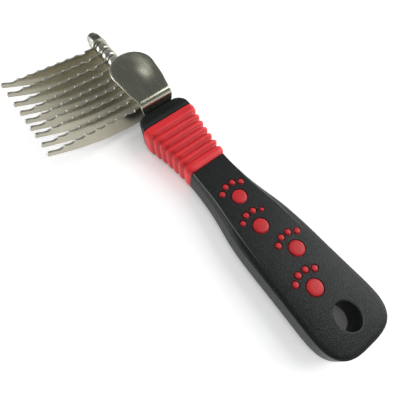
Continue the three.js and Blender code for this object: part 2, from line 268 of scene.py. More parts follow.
def steel(name, light, dark, rough, grain_axis=(1, 1, 1), blade=False):
    """Brushed metal; a blade also has duller sheared edges."""
    n = Nodes(name)
    grain = n.noise(5200, 2, 0.7, grain_axis)
    broad = n.noise(700, 4, 0.6, grain_axis)
    cloud = n.noise(60, 3)
    colour = n.mix(n.spread(cloud, 0.3, 0.7, 0.0, 1.0), light, dark)
    colour = n.mix(n.spread(broad, 0.45, 0.75, 0.0, 0.5), colour, dark)
    roughness = n.spread(broad, 0.3, 0.7, rough - 0.04, rough + 0.04)
    if blade:
        facing = n.add("ShaderNodeSeparateXYZ")
        n.link(n.add("ShaderNodeNewGeometry").outputs["True Normal"], facing.inputs["Vector"])
        sheared = n.spread(n.maths("ABSOLUTE", facing.outputs["Y"], 0.0), 0.3, 0.75, 1.0, 0.0)
        colour = n.mix(sheared, colour, SHEARED_STEEL)
        roughness = n.maths("ADD", roughness, n.maths("MULTIPLY", sheared, 0.3))
    normal = n.bump(grain, 0.00001, 0.25)
    return n.set(Base_Color=colour, Metallic=1.0, Roughness=roughness, Normal=normal)


plastic = black_plastic("black_textured_plastic", wear, 0.2)
# the grip's face edge and hole rim get wear and a painted highlight
grip_plastic = black_plastic("black_grip_plastic", edge_wear_and_painted_highlight, 0.34)
sleeve_rubber = red_rubber("red_rubber_sleeve", rgb(0.96, 0.040, 0.046), rgb(0.84, 0.030, 0.038))
paw_rubber = red_rubber("red_rubber_paws", rgb(0.70, 0.024, 0.030), rgb(0.62, 0.018, 0.025), 0.46)
blade_steel = steel(
    "satin_blade_steel", rgb(0.48, 0.455, 0.37), rgb(0.41, 0.39, 0.31), 0.19, (0.06, 1, 1), blade=True)
rest_steel = steel("polished_rest_steel", rgb(0.50, 0.50, 0.41), rgb(0.43, 0.43, 0.34), 0.25, (1, 0.15, 1))
bead_steel = steel("plated_bead_steel", rgb(0.62, 0.615, 0.55), rgb(0.52, 0.515, 0.45), 0.34)
nut_steel = steel("plated_nut_steel", rgb(0.27, 0.27, 0.245), rgb(0.22, 0.22, 0.195), 0.30)
rod_steel = steel("rod_steel", rgb(0.52, 0.51, 0.47), rgb(0.40, 0.39, 0.35), 0.3)


# ---------------------------------------------------------------- meshes

def finish_mesh(name, verts, faces, material, slot, body, replaced=(), sharp=38.0):
    """Makes a closed, smooth-shaded piece from millimetre vertices, riding on a body."""
    mesh = bpy.data.meshes.new(name)
    mesh.from_pydata([(x * MM, y * MM, z * MM) for x, y, z in verts], [], faces)
    bm = bmesh.new()
    bm.from_mesh(mesh)
    bmesh.ops.remove_doubles(bm, verts=bm.verts, dist=1e-6)
    bmesh.ops.dissolve_degenerate(bm, edges=bm.edges, dist=1e-7)
    bmesh.ops.recalc_face_normals(bm, faces=bm.faces)
    bm.to_mesh(mesh)
    bm.free()
    shade(mesh, sharp)
    mesh.materials.append(material)
    piece = bpy.data.objects.new(name, mesh)
    bpy.context.scene.collection.objects.link(piece)
    if body:
        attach(piece, body)
        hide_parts(*replaced)
    return piece


def shade(mesh, sharp):
    """Smooth shading with sharp edges above an angle in degrees."""
    mesh.polygons.foreach_set("use_smooth", [True] * len(mesh.polygons))
    mesh.set_sharp_from_angle(angle=math.radians(sharp))


def grid_faces(rows, columns, wrap):
    """Quads between neighbouring rows of equal length; wrap joins each row's last point to its first."""
    faces = []
    for r in range(rows - 1):
        for c in range(columns if wrap else columns - 1):
            after = (c + 1) % columns
            here = r * columns
            above = here + columns
            faces.append((here + c, here + after, above + after, above + c))
    return faces


def loft(rows, wrap=True, caps=True):
    """Skins a list of rows of points; caps closes the first and last row."""
    columns = len(rows[0])
    verts = [tuple(p) for row in rows for p in row]
    faces = grid_faces(len(rows), columns, wrap)
    if caps:
        last = (len(rows) - 1) * columns
        faces.append(tuple(range(columns)))
        faces.append(tuple(range(last, last + columns)))
    return verts, faces


def turned(profile, origin, sides):
    """Turns a closed profile of (radius, distance along +Y) points about the Y axis through origin."""
    rows = []
    for radius, along in profile:
        row = []
        for i in range(sides):
            angle = 2 * math.pi * i / sides
            x = origin[0] + radius * math.cos(angle)
            z = origin[2] + radius * math.sin(angle)
            row.append((x, origin[1] + along, z))
        rows.append(row)
    rows.append(rows[0])
    return loft(rows, caps=False)


def smooth_curve(points, samples):
    """Catmull-Rom curve through 2-D points, sampled evenly in parameter."""
    points = np.array(points, float)
    padded = np.vstack([2 * points[0] - points[1], points, 2 * points[-1] - points[-2]])
    out = []
    for value in np.linspace(0, len(points) - 1, samples):
        i = min(int(value), len(points) - 2)
        t = value - i
        a, b, c, d = padded[i:i + 4]
        square = (2 * a - 5 * b + 4 * c - d) * t ** 2
        cube = (3 * b - a - 3 * c + d) * t ** 3
        out.append(0.5 * (2 * b + (c - a) * t + square + cube))
    return np.array(out)


def outward(points, closed):
    """Unit normals of a 2-D polyline that runs clockwise round its inside."""
    if closed:
        step = np.roll(points, -1, 0) - np.roll(points, 1, 0)
    else:
        step = np.gradient(points, axis=0)
    step /= np.linalg.norm(step, axis=1)[:, None] + 1e-12
    return np.stack([-step[:, 1], step[:, 0]], 1)


def cut(piece, verts, faces):
    """Boolean difference with a closed cutter mesh, applied at once."""
    cutter = finish_mesh("cutter", verts, faces, plastic, None, None)
    modifier = piece.modifiers.new("cut", "BOOLEAN")
    modifier.operation = "DIFFERENCE"
    modifier.solver = "EXACT"
    modifier.object = cutter
    bpy.context.view_layer.update()
    graph = bpy.context.evaluated_depsgraph_get()
    result = bpy.data.meshes.new_from_object(piece.evaluated_get(graph))
    piece.modifiers.remove(modifier)
    piece.data = result
    bpy.data.objects.remove(cutter)
    shade(result, HARD_EDGE)


def merge(*parts):
    """One vertex and face list from several."""
    verts, faces = [], []
    for part_verts, part_faces in parts:
        start = len(verts)
        verts += list(part_verts)
        faces += [tuple(i + start for i in face) for face in part_faces]
    return verts, faces


SECTION_POINTS = 84


def section(half, low, high):
    """Rounded section of the neck, wider at mid height than at its foot."""
    height = high - low
    right = [
        (0, high), (half - 4.4, high), (half - 2.6, high - 0.04), (half - 1.5, high - 0.22),
        (half - 0.72, high - 0.7), (half - 0.25, high - 1.5), (half - 0.04, high - 2.6),
        (half, low + 0.62 * height), (half - 0.02, low + 0.42 * height), (half - 0.2, low + 0.2 * height),
        (half - 0.75, low + 0.07 * height), (half - 1.8, low + 0.005 * height), (0, low),
    ]
    curve = smooth_curve(right, 400)
    lengths = np.concatenate([[0], np.cumsum(np.linalg.norm(np.diff(curve, axis=0), axis=1))])
    wanted = np.linspace(0, lengths[-1], SECTION_POINTS // 2 + 1)
    x = np.interp(wanted, lengths, curve[:, 0])
    z = np.interp(wanted, lengths, curve[:, 1])
    right = list(zip(x, z))
    left = [(-a, b) for a, b in right[1:-1]][::-1]
    return right + left


# ---------------------------------------------------------------- handle

GRIP_FRONT = 23.8  # y of the waist, where the sleeve starts
END_CENTRE = -45.0  # y where the rounded free end starts
END_HALF_WIDTH = 14.5
END_LENGTH = 14.68
END_POWER = 3.09  # 2 is an ellipse, and more is squarer
FACE_Z = 13.0
FACE_EDGE_Z = 12.98
CROWN = 0.3  # how far the face falls off towards its edges at the free end
CROWN_LENGTH = 45
# (half width, y) from the waist to the free end
GRIP_SIDE = [
    (9.4, GRIP_FRONT), (9.4, 20), (9.72, 14.5), (10.2, 9), (11.1, 3), (12.55, -5), (13.3, -12), (13.7, -20),
    (13.95, -30), (END_HALF_WIDTH, END_CENTRE),
]
SIDE_STEPS = 90
END_STEPS = 72


def grip_outline():
    """Plan of the grip from the right of the waist, round the free end, to the left of the waist."""
    along = np.linspace(GRIP_FRONT, END_CENTRE, SIDE_STEPS)
    curve = smooth_curve(GRIP_SIDE, 600)
    widths = np.interp(-along, -curve[:, 1], curve[:, 0])
    right = np.stack([widths, along], 1)
    end = []
    for i in range(1, END_STEPS):
        angle = -math.pi * i / END_STEPS
        c, s = math.cos(angle), math.sin(angle)
        x = math.copysign(abs(c) ** (2 / END_POWER), c) * END_HALF_WIDTH
        end.append((x, END_CENTRE - abs(s) ** (2 / END_POWER) * END_LENGTH))
    left = right[::-1] * [-1, 1]
    return np.vstack([right, end, left])


# At distances behind y = 0: how far the face's edge and the top of the wall lie inside the outline,
# the height of the wall's top, and how round the slope between them is.
STATIONS = (-24, -5, 6, 20, 50)
FACE_INSET = (1.8, 2.25, 2.8, 3.0, 3.3)
WALL_INSET = (0.8, 0.76, 0.7, 0.63, 0.45)
WALL_TOP = (10.6, 11.0, 11.2, 11.5, 11.7)
ROUNDNESS = (0.12, 0.2, 0.4, 0.85, 1.0)
# (distance in from the outline, height)
GRIP_BELLY = [
    (0.0, 4.6), (0.06, 3.9), (0.24, 3.3), (0.55, 2.6), (1.0, 1.85), (1.65, 1.15), (2.4, 0.55), (3.3, 0.18),
    (4.3, 0.03), (5.2, 0.0),
]


def grip_shell():
    """The grip: a nearly flat face, an edge that is rounder towards the free end, and a tucked-in foot."""
    rim = grip_outline()
    normal = outward(rim, False)
    behind = -rim[:, 1]
    face_inset = np.interp(behind, STATIONS, FACE_INSET)
    wall_inset = np.interp(behind, STATIONS, WALL_INSET)
    wall_top = np.interp(behind, STATIONS, WALL_TOP)
    roundness = np.interp(behind, STATIONS, ROUNDNESS)
    face = rim - normal * face_inset[:, None]
    spine = np.stack([np.zeros(len(rim)), np.maximum(rim[:, 1], END_CENTRE)], 1)
    rows = []
    crown = CROWN * np.clip((GRIP_FRONT - rim[:, 1]) / CROWN_LENGTH, 0, 1)
    edge = FACE_EDGE_Z - crown
    for share in (0, 0.12, 0.25, 0.4, 0.5, 0.6, 0.68, 0.76, 0.83, 0.89, 0.94, 0.975):
        rows.append(np.column_stack([spine + share * (face - spine), FACE_Z - crown * share ** 3.5]))
    for share in np.linspace(0, 1, 13):
        across = share + roundness * (math.sin(share * math.pi / 2) - share)
        down = share + roundness * (1 - math.cos(share * math.pi / 2) - share)
        inset = face_inset + (wall_inset - face_inset) * across
        rows.append(np.column_stack([rim - normal * inset[:, None], edge + (wall_top - edge) * down]))
    wall_foot = GRIP_BELLY[0][1]
    for share in (0.9, 0.75, 0.5, 0.25):
        height = wall_foot + (wall_top - wall_foot) * share
        rows.append(np.column_stack([rim - normal * (wall_inset * share ** 1.2)[:, None], height]))
    for inset, height in GRIP_BELLY:
        rows.append(np.column_stack([rim - normal * inset, np.full(len(rim), height)]))
    base = rim - normal * GRIP_BELLY[-1][0]
    for share in (0.8, 0.5, 0.0):
        rows.append(np.column_stack([spine + share * (base - spine), np.zeros(len(rim))]))
    columns = len(rim)
    verts, faces = loft(rows, wrap=False, caps=False)
    right = [r * columns for r in range(len(rows))]
    left = [r * columns + columns - 1 for r in range(len(rows))]
    faces.append(tuple(right + left[::-1][1:-1]))
    return verts, faces


HEAD_BACK = 51.95
HEAD_BOTTOM = 0.9
HEAD_HALF_WIDTH = 12.0
HEAD_CORNER = 5.0
HEAD_STEPS = 14
# (distance in from the outline, height above HEAD_BOTTOM)
HEAD_PROFILE = [
    (1.1, 0), (0.5, 0.25), (0.15, 0.7), (0, 1.3), (0, 12.9), (0.06, 13.3), (0.22, 13.6), (0.5, 13.8),
    (0.9, 13.9),
]


def head_block():
    """The block that the blade pack is clamped against, with two rounded corners in plan."""
    front = range_mm("handle_body", 1)[1]
    outline = [(-HEAD_HALF_WIDTH, HEAD_BACK), (HEAD_HALF_WIDTH, HEAD_BACK)]
    for side, start in ((1, 0.0), (-1, 90.0)):
        for i in range(HEAD_STEPS + 1):
            angle = math.radians(start + 90 * i / HEAD_STEPS)
            x = side * (HEAD_HALF_WIDTH - HEAD_CORNER) + HEAD_CORNER * math.cos(angle)
            outline.append((x, front - HEAD_CORNER + HEAD_CORNER * math.sin(angle)))
    outline = np.array(outline)
    middle = (HEAD_BACK + front) / 2
    rows = []
    for inset, height in HEAD_PROFILE:
        x = outline[:, 0] - np.sign(outline[:, 0]) * inset
        y = np.where(outline[:, 1] > middle, outline[:, 1] - inset, outline[:, 1])
        rows.append(np.column_stack([x, y, np.full(len(outline), HEAD_BOTTOM + height)]))
    return loft(rows)


SLEEVE_WALL = 1.9
CORE_TOP_IN_GRIP = 11.9  # below the grip's face
LAST_RIB = 27.2  # y of the crest nearest the grip


def neck_core():
    """The moulding inside the sleeve, which joins the grip to the head block."""
    rows = []
    for y in (20.0, 24.0, 30.0, 38.0, 46.0, 53.0):
        half = neck_half_width(y) - SLEEVE_WALL
        top = neck_top(y) - 1.0 if y > 24 else CORE_TOP_IN_GRIP
        rows.append([(x, y, z) for x, z in section(half, 1.5, top)])
    return loft(rows)


def neck_half_width(y):
    """Half width of the sleeve over its crests, which flares towards the head."""
    along = max(y, GRIP_FRONT) - LAST_RIB
    return 9.5 + 0.06 * along + 0.0038 * along * along


def neck_top(y):
    """Height of the sleeve over its crests, which rises towards the head."""
    return 13.6 + 0.041 * (y - GRIP_FRONT)


# ((x, y) of the pad, radii of the four toes) of each print
PAWS = [
    ((0.3, 5.3), (1.2, 1.2, 1.2, 1.2)),
    ((-1.2, -8.4), (0.85, 1.2, 1.2, 1.05)),
    ((3.2, -22.4), (1.2, 1.2, 1.2, 1.2)),
    ((-1.6, -35.8), (1.2, 1.2, 1.2, 1.2)),
]
PAD_RADIUS = 2.97
TOE_RING = 6.5
TOE_ANGLES = (45, 75, 105, 135)
RIM_TUCK = 0.16  # how far a pad or toe is smaller above its lip
DOME_STEPS = 10


def oval(x, y, rx, ry, z, sides=48):
    """Ellipse at height z."""
    points = []
    for i in range(sides):
        angle = 2 * math.pi * i / sides
        points.append((x + rx * math.cos(angle), y + ry * math.sin(angle), z))
    return points


def hole_cutter():
    """Hang hole, rounded at both rims."""
    x, y, rx, ry = HOLE
    profile = [
        (1.6, -1.0), (0.9, 0.0), (0.4, 0.45), (0.1, 0.9), (0, 1.4), (0, 12.2), (0.05, 12.5), (0.18, 12.75),
        (0.42, 12.95), (1.2, 14.0),
    ]
    return loft([oval(x, y, rx + grow, ry + grow, z, 72) for grow, z in profile])


def paw_spots(paw):
    """Centre and radius of a print's pad and toes."""
    (x, y), toes = paw
    spots = [(x, y, PAD_RADIUS)]
    for degrees, radius in zip(TOE_ANGLES, toes):
        angle = math.radians(degrees)
        spots.append((x + TOE_RING * math.cos(angle), y + TOE_RING * math.sin(angle), radius))
    return spots


def pocket_cutters():
    """Pockets for the prints, each a little wider than its pad or toe."""
    parts = []
    for paw in PAWS:
        for x, y, radius in paw_spots(paw):
            profile = [(0.18, 11.6), (0.18, 12.72), (0.26, 12.9), (0.5, 13.3), (0.8, 14.2)]
            parts.append(loft([oval(x, y, radius + grow, radius + grow, z, 40) for grow, z in profile]))
    return merge(*parts)


def paw_print(paw):
    """Pad and toes: each a low dome that rises from a sunken lip."""
    parts = []
    profile = [
        (0.16, 11.7), (0.16, 12.68), (0.1, 12.74), (-0.12, 12.76), (-RIM_TUCK, 12.84), (-RIM_TUCK, FACE_Z),
    ]
    for x, y, radius in paw_spots(paw):
        if radius == PAD_RADIUS:
            rise, flatness, steepness = 0.45, 0.55, 1.0
        else:
            rise, flatness, steepness = 0.4, 0.8, 0.9
        rows = [oval(x, y, radius + grow, radius + grow, z) for grow, z in profile]
        for i in range(1, DOME_STEPS + 1):
            angle = math.pi / 2 * i / DOME_STEPS
            reach = max((radius - RIM_TUCK) * math.cos(angle) ** flatness, 0.002)
            rows.append(oval(x, y, reach, reach, FACE_Z + rise * math.sin(angle) ** steepness))
        parts.append(loft(rows))
    return merge(*parts)


handle = finish_mesh("handle_shell", *grip_shell(), grip_plastic,
                     "black_plastic", "handle", ["handle_body"], HARD_EDGE)
cut(handle, *hole_cutter())
cut(handle, *pocket_cutters())
finish_mesh("head_block", *merge(head_block(), neck_core()), plastic,
            "black_plastic", "handle", ["handle_body"], HARD_EDGE)

for number, paw in enumerate(PAWS, 1):
    node = f"paw_inlay_{number}"
    finish_mesh(f"paw_print_{number}", *paw_print(paw), paw_rubber, "red_rubber", "handle", [node], 40)


# ---------------------------------------------------------------- sleeve

FIRST_RIB = 48.6  # y of the crest that runs into the plain band
RIB_PITCH = 3.57
BAND_BACK = 50.35
BAND_STEP = 0.42  # how much narrower the plain band is
GROOVE_SIDE = 1.15  # depth of a groove at the sides, then on top and underneath
GROOVE_TOP = 0.85
GROOVE_FOOT = 0.8


def rib_relief(y):
    """0 on a crest and 1 in a groove: round ribs with narrow grooves between them."""
    if y > FIRST_RIB:
        return 0.0
    if y < LAST_RIB:
        phase = 0.46 * ((LAST_RIB - y) / 3.25) ** 1.5
    else:
        phase = (FIRST_RIB - y) / RIB_PITCH
    return abs(math.sin(math.pi * phase)) ** 2.3


def sleeve():
    """Seven ribs and a plain band, with both ends rounded in."""
    back, front = range_mm("grip_sleeve", 1)
    rows = []
    for y in np.linspace(back, front, 330):
        relief = rib_relief(y)
        step = BAND_STEP * min(1, max(0, (y - BAND_BACK) / 0.25))
        back_lip = max(0.0, 1 - (y - back) / 0.5) ** 2 * 0.35
        lip = back_lip + max(0.0, 1 - (front - y) / 0.35) ** 2 * 0.25
        half = neck_half_width(y) - GROOVE_SIDE * relief - step - lip
        high = neck_top(y) - GROOVE_TOP * relief - lip
        low = 0.02 + GROOVE_FOOT * relief + lip
        rows.append([(x, y, z) for x, z in section(half, low, high)])
    return loft(rows)


finish_mesh("ribbed_sleeve", *sleeve(), sleeve_rubber, "red_rubber", "handle", ["grip_sleeve"], 60)


# ---------------------------------------------------------------- blades

TEETH = 8
FIRST_TOOTH = -8.2
TOOTH_PITCH = 4.72
SCALLOP_DEPTH = 0.78
# the bite next to the rod is steeper: shares of the pitch, and depths there
FIRST_BITE = ((0, 0.06, 0.11, 0.17, 0.24, 0.32, 0.5, 0.75, 1), (0, 0.12, 0.45, 0.9, 1.02, 1.08, 0.92, 0.5, 0))
BITE_STEPS = 16
EYE_RADIUS = 3.28
BORE = 2.05  # radius of the bores on the rod
BORE_SIDES = 32
TIP = -48.75
BLADE_HALF = 0.5  # half the blade's thickness
# widths of the broken edge: along the spine and the eye, round the tip, on the teeth and on the first bite
PLAIN_EDGE = 0.1
TIP_EDGE = 0.12
TOOTH_EDGE = 0.14
GROUND_EDGE = 0.24
EDGE_SLOPE = 0.7  # how deep a broken edge goes into the sheet's thickness, for a width of 1


def tooth_height(x):
    """Height of the teeth's points, which rise slightly towards the tip."""
    return 12.86 + 0.083 * (FIRST_TOOTH - x)


def blade_outline():
    """Closed outline, anticlockwise seen from the handle, with the width of its edge break."""
    points = []

    def run(curve, bevel):
        points.extend((x, z, bevel) for x, z in curve)

    angles = np.radians(np.linspace(-25, 145, 30))
    eye = [(EYE_RADIUS * math.cos(a), ROD_Z + EYE_RADIUS * math.sin(a)) for a in angles]
    run(eye, PLAIN_EDGE)
    run([(-4.1, 12.7), (-5.4, 12.6), (-6.8, 12.72), (-7.7, 12.82)], PLAIN_EDGE)
    run([(FIRST_TOOTH, tooth_height(FIRST_TOOTH))], PLAIN_EDGE)
    for tooth in range(TEETH):
        start = FIRST_TOOTH - tooth * TOOTH_PITCH
        for i in range(1, BITE_STEPS + 1):
            t = i / BITE_STEPS
            x = start - t * TOOTH_PITCH
            bevel = TOOTH_EDGE
            if tooth == 0:
                bite = np.interp(t, *FIRST_BITE)
                if t < 0.35:
                    bevel = GROUND_EDGE
            else:
                bite = SCALLOP_DEPTH * math.sin(math.pi * t ** 0.9) ** 0.95
            points.append((x, tooth_height(x) - bite, bevel))
    point = [
        (-46.5, 16.28), (-47.1, 16.55), (-47.55, 16.66), (-48.0, 16.6), (-48.4, 16.35), (-48.65, 15.95),
        (TIP, 15.5), (TIP, 15.0),
    ]
    run(point, TIP_EDGE)
    spine = [
        (-48.5, 14.85), (-42.5, 12.15), (-36.8, 9.85), (-31, 8.0), (-25.8, 6.5), (-20.8, 5.65), (-15, 5.0),
        (-9.5, 4.5), (-4, 4.25), (-0.5, 4.35), (1.8, 5.3), (3.0, 7.4),
    ]
    run(smooth_curve(spine, 70), PLAIN_EDGE)
    return points


def blade_mesh(y, tilt):
    """A blade in the plane y, turned about the rod by tilt, with broken edges and its bore."""
    outline = blade_outline()
    flat = np.array([(x, z) for x, z, _ in outline])
    width = np.array([b for _, _, b in outline])
    for _ in range(2):
        width = (np.roll(width, 1) + width + np.roll(width, -1)) / 3
    step = np.roll(flat, -1, 0) - np.roll(flat, 1, 0)
    step /= np.linalg.norm(step, axis=1)[:, None]
    inward = np.stack([-step[:, 1], step[:, 0]], 1)
    for _ in range(3):
        inward = np.roll(inward, 1, 0) + inward + np.roll(inward, -1, 0)
        inward /= np.linalg.norm(inward, axis=1)[:, None]
    inner = flat + inward * width[:, None]
    edge = BLADE_HALF - width * EDGE_SLOPE
    turn = Matrix.Rotation(tilt, 2)

    def place(points, offsets):
        out = []
        for (x, z), offset in zip(points, offsets):
            v = turn @ Vector((x, z - ROD_Z))
            out.append((v.x, y + offset, v.y + ROD_Z))
        return out

    count = len(flat)
    half = np.full(count, BLADE_HALF)
    angles = np.linspace(0, 2 * math.pi, BORE_SIDES + 1)[:-1]
    bore = [(BORE * math.cos(a), ROD_Z + BORE * math.sin(a)) for a in angles]
    rings = [place(inner, -half), place(flat, -edge), place(flat, edge), place(inner, half)]
    verts = [p for ring in rings for p in ring]
    faces = grid_faces(4, count, True)
    near = len(verts)
    verts += place(bore, [-BLADE_HALF] * BORE_SIDES)
    far = len(verts)
    verts += place(bore, [BLADE_HALF] * BORE_SIDES)
    loops = [[Vector((a, b, 0)) for a, b in inner], [Vector((a, b, 0)) for a, b in bore]]
    for first, hole in ((0, near), (3 * count, far)):
        index = [first + i for i in range(count)] + [hole + i for i in range(BORE_SIDES)]
        for triangle in tessellate_polygon(loops):
            faces.append(tuple(index[i] for i in triangle))
    for i in range(BORE_SIDES):
        j = (i + 1) % BORE_SIDES
        faces.append((near + i, near + j, far + j, far + i))
    return verts, faces


BLADE_TILT = (0.0, 0.3, -0.1, 1.2, 2.3, 2.4, 1.8, 0.5, -0.5)  # degrees the tips droop as clamped
for number, tilt in enumerate(BLADE_TILT, 1):
    node = f"blade_{number}"
    finish_mesh(f"serrated_blade_{number}", *blade_mesh(centre_mm(node)[1], math.radians(tilt)), blade_steel,
                "satin_steel", "blade_pack", [node], 20)


# ---------------------------------------------------------------- spacers, washer, nut and rod

BEAD_HALF = 2.2  # half the bead's length
BEAD_FLAT = 2.6  # radius of its flat ends
BEAD_END = 2.66
BEAD_BELLY = 0.93
BEAD_STEPS = 20


def barrel():
    """Turned bead: flat ends and a full round belly."""
    outer = []
    for i in range(BEAD_STEPS + 1):
        t = -1 + 2 * i / BEAD_STEPS
        outer.append((BEAD_END + BEAD_BELLY * (1 - t * t) ** 0.6, t * BEAD_HALF * 0.99))
    ends = [(BORE, -BEAD_HALF), (BEAD_FLAT, -BEAD_HALF)]
    return ends + outer + [(BEAD_FLAT, BEAD_HALF), (BORE, BEAD_HALF)]


for number in range(1, 10):
    node = f"spacer_{number}"
    finish_mesh(f"barrel_spacer_{number}", *turned(barrel(), centre_mm(node), 56), bead_steel,
                "bright_steel", "blade_pack", [node], 35)

washer_profile = [
    (BORE, -0.5), (3.7, -0.5), (3.9, -0.4), (4.0, -0.2), (4.0, 0.2), (3.9, 0.4), (3.7, 0.5), (BORE, 0.5),
]
finish_mesh("flat_end_washer", *turned(washer_profile, centre_mm("end_washer"), 64), bead_steel,
            "bright_steel", "clamp_washer", ["end_washer"], 35)


NUT_SIDES = 96
NUT_FLAT = 3.5  # half the nut's width across its flats
HEX_LENGTH = 4.0
DOME_RADIUS = 3.08
NUT_BORE_DEPTH = 6.6
NUT_DOME_STEPS = 15


def dome_nut():
    """Hexagon with chamfered corners, a neck and a dome, bored from its base."""
    back, front = range_mm("dome_nut", 1)
    length = front - back

    def ring(radius, along):
        angles = np.linspace(0, 2 * math.pi, NUT_SIDES + 1)[:-1]
        return [(radius * math.cos(a), back + along, ROD_Z + radius * math.sin(a)) for a in angles]

    def hexagon(limit, along):
        """Ring of the hexagon, cut off at a radius of limit as a turned chamfer is."""
        sixth = math.pi / 6
        out = []
        for i in range(NUT_SIDES):
            a = 2 * math.pi * i / NUT_SIDES
            to_flat = (a + sixth) % (2 * sixth) - sixth
            radius = min(NUT_FLAT / math.cos(to_flat), limit)
            x = radius * math.cos(a + sixth)
            out.append((x, back + along, ROD_Z + radius * math.sin(a + sixth)))
        return out

    rows = [ring(0.01, NUT_BORE_DEPTH), ring(BORE, NUT_BORE_DEPTH), ring(BORE, 0.0)]
    chamfers = [
        (NUT_FLAT, 0.0), (3.78, 0.12), (4.0, 0.3), (4.0, HEX_LENGTH - 0.5), (3.75, HEX_LENGTH - 0.25),
        (3.4, HEX_LENGTH),
    ]
    for limit, along in chamfers:
        rows.append(hexagon(limit, along))
    rows.append(ring(DOME_RADIUS + 0.05, HEX_LENGTH))
    rows.append(ring(DOME_RADIUS, HEX_LENGTH + 0.12))
    for i in range(NUT_DOME_STEPS):
        angle = math.pi / 2 * i / NUT_DOME_STEPS
        along = length - DOME_RADIUS + DOME_RADIUS * math.sin(angle)
        rows.append(ring(DOME_RADIUS * math.cos(angle), along))
    rows.append(ring(0.01, length))
    return loft(rows)


finish_mesh("domed_cap_nut", *dome_nut(), nut_steel, "bright_steel", "clamp_nut", ["dome_nut"], 30)


ROD_RADIUS = 1.95
TANG_RADIUS = 1.5
TANG_END = 50.0
THREAD_START = 100.0
THREAD_LEAD = 0.7
THREAD_DEPTH = 0.38
ROD_SIDES = 32


def threaded_rod():
    """Tang, plain shank and an M4 x 0.7 thread at the free end."""
    back, front = range_mm("threaded_rod", 1)
    rows = []
    stations = [(back, 1.2), (back + 0.4, TANG_RADIUS), (TANG_END, TANG_RADIUS)]
    stations += [(TANG_END, ROD_RADIUS), (THREAD_START, ROD_RADIUS)]
    stations += [(y, None) for y in np.arange(THREAD_START + 0.1, front - 0.6, 0.1)]
    stations += [(front - 0.5, 1.7), (front, 1.3)]
    for y, radius in stations:
        row = []
        for i in range(ROD_SIDES):
            turn = i / ROD_SIDES
            r = radius
            if r is None:
                r = ROD_RADIUS - THREAD_DEPTH * abs(2 * ((y / THREAD_LEAD - turn) % 1) - 1)
            row.append((r * math.cos(2 * math.pi * turn), y, ROD_Z + r * math.sin(2 * math.pi * turn)))
        rows.append(row)
    return loft(rows)


finish_mesh("m4_rod", *threaded_rod(), rod_steel, "satin_steel", "handle", ["threaded_rod"], 40)
frame["nodes"]["anchor_pin"].data.materials.clear()
frame["nodes"]["anchor_pin"].data.materials.append(rod_steel)


# ---------------------------------------------------------------- thumb rest

WALL_BACK = 58.4
PLATE = 1.2  # thickness of the sheet
BEND = 3.0  # outside radius of the bend
BEND_Z = 17.6  # height of the bend's axis
BEND_ANGLE = math.radians(84)
PADDLE_RADIUS = 9.9
PADDLE_FRONT = 85.8
FOOT_RADIUS = 5.8
RIM_ROUND = 0.55
BEND_Y = WALL_BACK + BEND
WALL = BEND_Z - ROD_Z  # length of the flat wall above the rod
MIDDLE = BEND - PLATE / 2  # radius of the bend at the middle of the sheet
ARC = MIDDLE * BEND_ANGLE
ARC_END_Y = BEND_Y + MIDDLE * math.cos(math.pi - BEND_ANGLE)
DISH_DEPTH = 1.25
DISH_Y = 74.5
DISH_HALF_WIDTH = 5.9
DISH_HALF_LENGTH = 7.4
REST_POINTS = 240
REST_RINGS = 22
REST_EDGE = 0.4  # width of the ring next to the plate's rounded edge


def paddle_top(y):
    """Height of the paddle's upper face before it is dished."""
    along = y - BEND_Y
    return BEND_Z + BEND + 0.19 * along - 0.0042 * along * along


def bend_sheet(x, t, h):
    """Maps a point of the flat blank to the bent sheet. t is measured up from the rod; h is the height
    above the sheet's middle, towards the outside of the bend."""
    if t < WALL:
        return x, WALL_BACK + PLATE / 2 - h, ROD_Z + t
    if t < WALL + ARC:
        angle = math.pi - (t - WALL) / MIDDLE
        radius = MIDDLE + h
        return x, BEND_Y + radius * math.cos(angle), BEND_Z + radius * math.sin(angle)
    y = ARC_END_Y + (t - WALL - ARC)
    return x, y, paddle_top(y) - PLATE / 2 + h - dish(x, y)


def dish(x, y):
    """Depth of the thumb's hollow in the paddle."""
    return DISH_DEPTH * math.exp(-((x / DISH_HALF_WIDTH) ** 2) - ((y - DISH_Y) / DISH_HALF_LENGTH) ** 2)


def rest_outline():
    """Blank of the thumb rest in (x, t), clockwise from the foot."""
    start = WALL + ARC
    end = start + PADDLE_FRONT - ARC_END_Y
    centre = end - PADDLE_RADIUS
    foot_angles = np.radians(np.linspace(0, 90, 14))
    left = [(-FOOT_RADIUS * math.sin(a), -FOOT_RADIUS * math.cos(a)) for a in foot_angles]
    left += [(-6.6, 1.9), (-7.4, 3.8), (-7.6, 5.4), (-7.72, WALL), (-7.74, WALL + ARC / 2), (-7.8, start)]
    rise = [(-7.8, start), (-8.25, start + 2.4), (-9.0, start + 6.0), (-9.65, centre - 2.6)]
    left += [tuple(p) for p in smooth_curve(rise, 14)[1:]]
    for a in np.radians(np.linspace(-6, 90, 26)):
        left.append((-PADDLE_RADIUS * math.cos(a), centre + PADDLE_RADIUS * math.sin(a)))
    right = [(-x, t) for x, t in left[1:-1]][::-1]
    return np.array(left + right)


def resample(points, count):
    """Evenly spaced points round a closed outline."""
    closed = np.vstack([points, points[:1]])
    lengths = np.concatenate([[0], np.cumsum(np.linalg.norm(np.diff(closed, axis=0), axis=1))])
    wanted = np.linspace(0, lengths[-1], count + 1)[:-1]
    return np.stack([np.interp(wanted, lengths, closed[:, 0]), np.interp(wanted, lengths, closed[:, 1])], 1)


